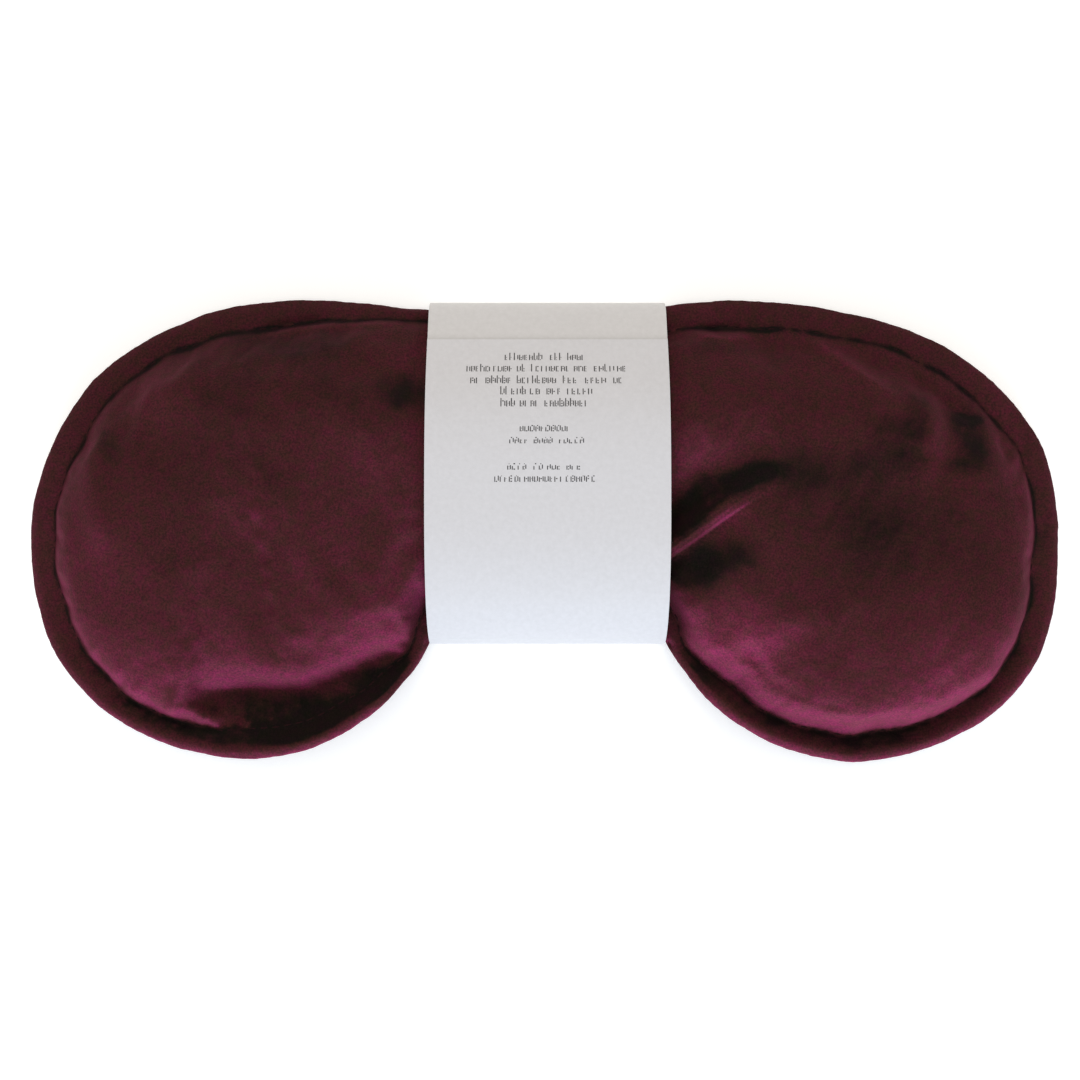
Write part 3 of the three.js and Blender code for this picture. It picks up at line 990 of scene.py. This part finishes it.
def seam_ring():
    """The hidden join seam's thread, as one ring in the groove between the two folded edges."""
    at = edge + inward * 0.55
    z = FLANGE_HEIGHT + flange_lift(stitch_line) + edge_curl(edge)
    spine = np.column_stack([at, z])
    sides = 6
    points, faces = [], []
    for i, p in enumerate(spine):
        for q in range(sides):
            turn = 2 * math.pi * q / sides
            offset = np.r_[inward[i] * math.cos(turn), math.sin(turn)] * 0.2
            points.append(p + offset)
    n = len(spine)
    for i in range(n):
        for q in range(sides):
            a, b = i * sides + q, i * sides + (q + 1) % sides
            c, d = ((i + 1) % n) * sides + q, ((i + 1) % n) * sides + (q + 1) % sides
            faces.append((a, b, d, c))
    made = new_object("join_seam", points, faces, "pillow", thread)
    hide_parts("join_seam_thread")


seam_ring()


# ---------------------------------------------------------------- band
loop = evenly(closed_curve(BAND_LOOP), 1200)
loop_step = length_of(loop) / len(loop)
loop_normal = -inward_normals(loop)
LOOP_LENGTH = length_of(loop)


def loop_at(distance, outward):
    i = (np.asarray(distance) / loop_step) % len(loop)
    a = i.astype(int)
    t = (i - a)[:, None]
    b = (a + 1) % len(loop)
    p = loop[a] * (1 - t) + loop[b] * t
    n = loop_normal[a] * (1 - t) + loop_normal[b] * t
    return p + n * np.asarray(outward)[:, None]


def lap_offset(distance):
    return 0.5 * (1 - smooth(LAP_LENGTH + 2, LAP_LENGTH + 24, distance))


def face_outwards(obj):
    bm = bmesh.new()
    bm.from_mesh(obj.data)
    bmesh.ops.recalc_face_normals(bm, faces=bm.faces)
    bm.to_mesh(obj.data)
    bm.free()


def strip(name, start, stop, steps, columns, width, outward, thickness, material):
    """A strip of paper that follows the loop, as a closed solid."""
    d = np.linspace(start, stop, steps)
    x = np.linspace(-width / 2, width / 2, columns)
    faces, layers = [], []
    for level in (thickness / 2, -thickness / 2):
        yz = loop_at(d, outward(d) + level)
        grid = np.empty((steps, columns, 3))
        grid[:, :, 0] = BAND_CENTRE_X + x[None, :]
        grid[:, :, 1:] = yz[:, None, :]
        layers.append(grid.reshape(-1, 3))
    n = steps * columns
    for i in range(steps - 1):
        for j in range(columns - 1):
            a = i * columns + j
            quad = (a, a + 1, a + columns + 1, a + columns)
            faces.append(quad[::-1])
            faces.append(tuple(n + v for v in quad))
    rim = list(range(columns))
    rim += [i * columns + columns - 1 for i in range(1, steps)]
    rim += [(steps - 1) * columns + j for j in range(columns - 2, -1, -1)]
    rim += [i * columns for i in range(steps - 2, 0, -1)]
    for a, b in zip(rim, rim[1:] + rim[:1]):
        faces.append((a, b, n + b, n + a))
    obj = new_object(name, np.vstack(layers), faces, "band", material)
    face_outwards(obj)
    obj.data.set_sharp_from_angle(angle=math.radians(50))
    return obj


band = strip(
    "paper_band", 0, LOOP_LENGTH + LAP_LENGTH, 420, 13, BAND_WIDTH, lap_offset, PAPER, card
)
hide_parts("belly_band")


def word_marks(width, rng):
    """Random upright and level strokes, as (x, low, wide, tall), that fill one word's width. They spell
    nothing, though some happen to look like single letters."""
    marks = []
    x = 0.0
    while x < width - 0.7:
        cell = rng.uniform(0.8, 1.1)
        tall = 1.95 if rng.random() < 0.28 else 1.4
        marks.append((x, 0.0, 0.22, tall))
        if rng.random() < 0.5:
            marks.append((x + cell - 0.22, rng.uniform(0, 0.3), 0.22, 1.1))
        for low in (0.0, 0.6, 1.18):
            if rng.random() < 0.5:
                marks.append((x + 0.36, low, cell - 0.72, 0.22))
        x += cell + 0.2
    return marks


def printed_lines():
    """Rows of random marks where the directions would be printed. They follow word lengths and spell nothing."""
    rows = [
        (38.6, [9.2, 2.9, 4.6]),
        (35.9, [5.0, 4.3, 2.2, 8.6, 3.5, 4.2, 2.0]),
        (33.2, [2.4, 6.0, 9.3, 4.0, 5.3, 2.0]),
        (30.6, [5.6, 2.7, 3.6, 5.6]),
        (27.9, [3.3, 4.5, 10.6]),
        (22.4, [11.8]),
        (19.7, [4.4, 4.6, 5.4]),
        (13.9, [4.8, 2.0, 3.3, 4.2]),
        (11.2, [23.0]),
    ]
    y_on_loop = loop[:, 0]
    top_half = np.flatnonzero(loop[:, 1] > 12)
    rng = np.random.default_rng(11)
    points, faces = [], []
    for y, words in rows:
        total = sum(words) + 1.0 * (len(words) - 1)
        left = -0.3 - total / 2
        i = top_half[np.abs(y_on_loop[top_half] - y).argmin()]
        for word in words:
            for x, low, wide, tall in word_marks(word, rng):
                foot = i * loop_step + 0.7 - low
                d = np.array([foot - tall, foot])
                base = float(lap_offset(np.array([foot]))[0]) + PAPER / 2
                first = len(points)
                for level in (0.03, -0.03):
                    yz = loop_at(d, np.full(2, base + level))
                    for at in (left + x, left + x + wide):
                        for p in yz:
                            points.append((BAND_CENTRE_X + at, p[0], p[1]))
                box = [(0, 1, 3, 2), (4, 6, 7, 5), (0, 4, 5, 1), (1, 5, 7, 3), (3, 7, 6, 2), (2, 6, 4, 0)]
                faces += [tuple(first + v for v in f) for f in box]
            left += word + 1.0
    obj = new_object("band_print", points, faces, "band", ink)
    face_outwards(obj)
    for polygon in obj.data.polygons:
        polygon.use_smooth = False
    return obj


printed_lines()
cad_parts["band_tape"].data.materials.clear()
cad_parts["band_tape"].data.materials.append(tape)


# ---------------------------------------------------------------- stage, light and camera
def plain(name, colour, roughness=0.8):
    mat, _, shader = nodes_of(name)
    shader.inputs["Base Color"].default_value = (*colour, 1)
    shader.inputs["Roughness"].default_value = roughness
    return mat


bpy.ops.mesh.primitive_plane_add(size=6, location=(0, 0, -0.0002))
floor = bpy.context.object
floor.name = "floor"
floor.data.materials.append(plain("floor_white", (0.9, 0.9, 0.9)))
glow = floor.data.materials[0].node_tree.nodes["Principled BSDF"]
glow.inputs["Emission Color"].default_value = (1, 1, 1, 1)
glow.inputs["Emission Strength"].default_value = 0.3


def area_light(name, place, aim, size, power, colour):
    data = bpy.data.lights.new(name, "AREA")
    data.shape = "RECTANGLE"
    data.size, data.size_y = size
    data.energy = power
    data.color = colour
    obj = bpy.data.objects.new(name, data)
    bpy.context.scene.collection.objects.link(obj)
    obj.location = place
    obj.rotation_mode = "QUATERNION"
    obj.rotation_quaternion = (Vector(aim) - Vector(place)).to_track_quat("-Z", "Y")
    return obj


area_light("window", (0.2, -3.4, 1.4), (0, 0, 0), (2.4, 1.3), 103, (0.80, 0.90, 1.0))
area_light("lamp", (-0.5, 2.6, 2.4), (0, 0, 0), (2.0, 1.4), 43, (1.0, 0.90, 0.72))
area_light("ceiling", (0, 0, 3.0), (0, 0, 0), (2.0, 2.0), 26, (1.0, 0.985, 0.96))

world = bpy.data.worlds.new("soft_white")
world.use_nodes = True
world.node_tree.nodes["Background"].inputs["Color"].default_value = (0.95, 0.97, 1.0, 1)
world.node_tree.nodes["Background"].inputs["Strength"].default_value = 0.42
bpy.context.scene.world = world
bpy.context.scene.view_settings.view_transform = "Standard"

camera_data = bpy.data.cameras.new("camera")
camera_data.sensor_width = 36
camera_data.lens = 47.6
camera_data.clip_start = 0.01
camera = bpy.data.objects.new("camera", camera_data)
camera.location = (-0.0010, -0.0023, 0.340)
bpy.context.scene.collection.objects.link(camera)
bpy.context.scene.camera = camera
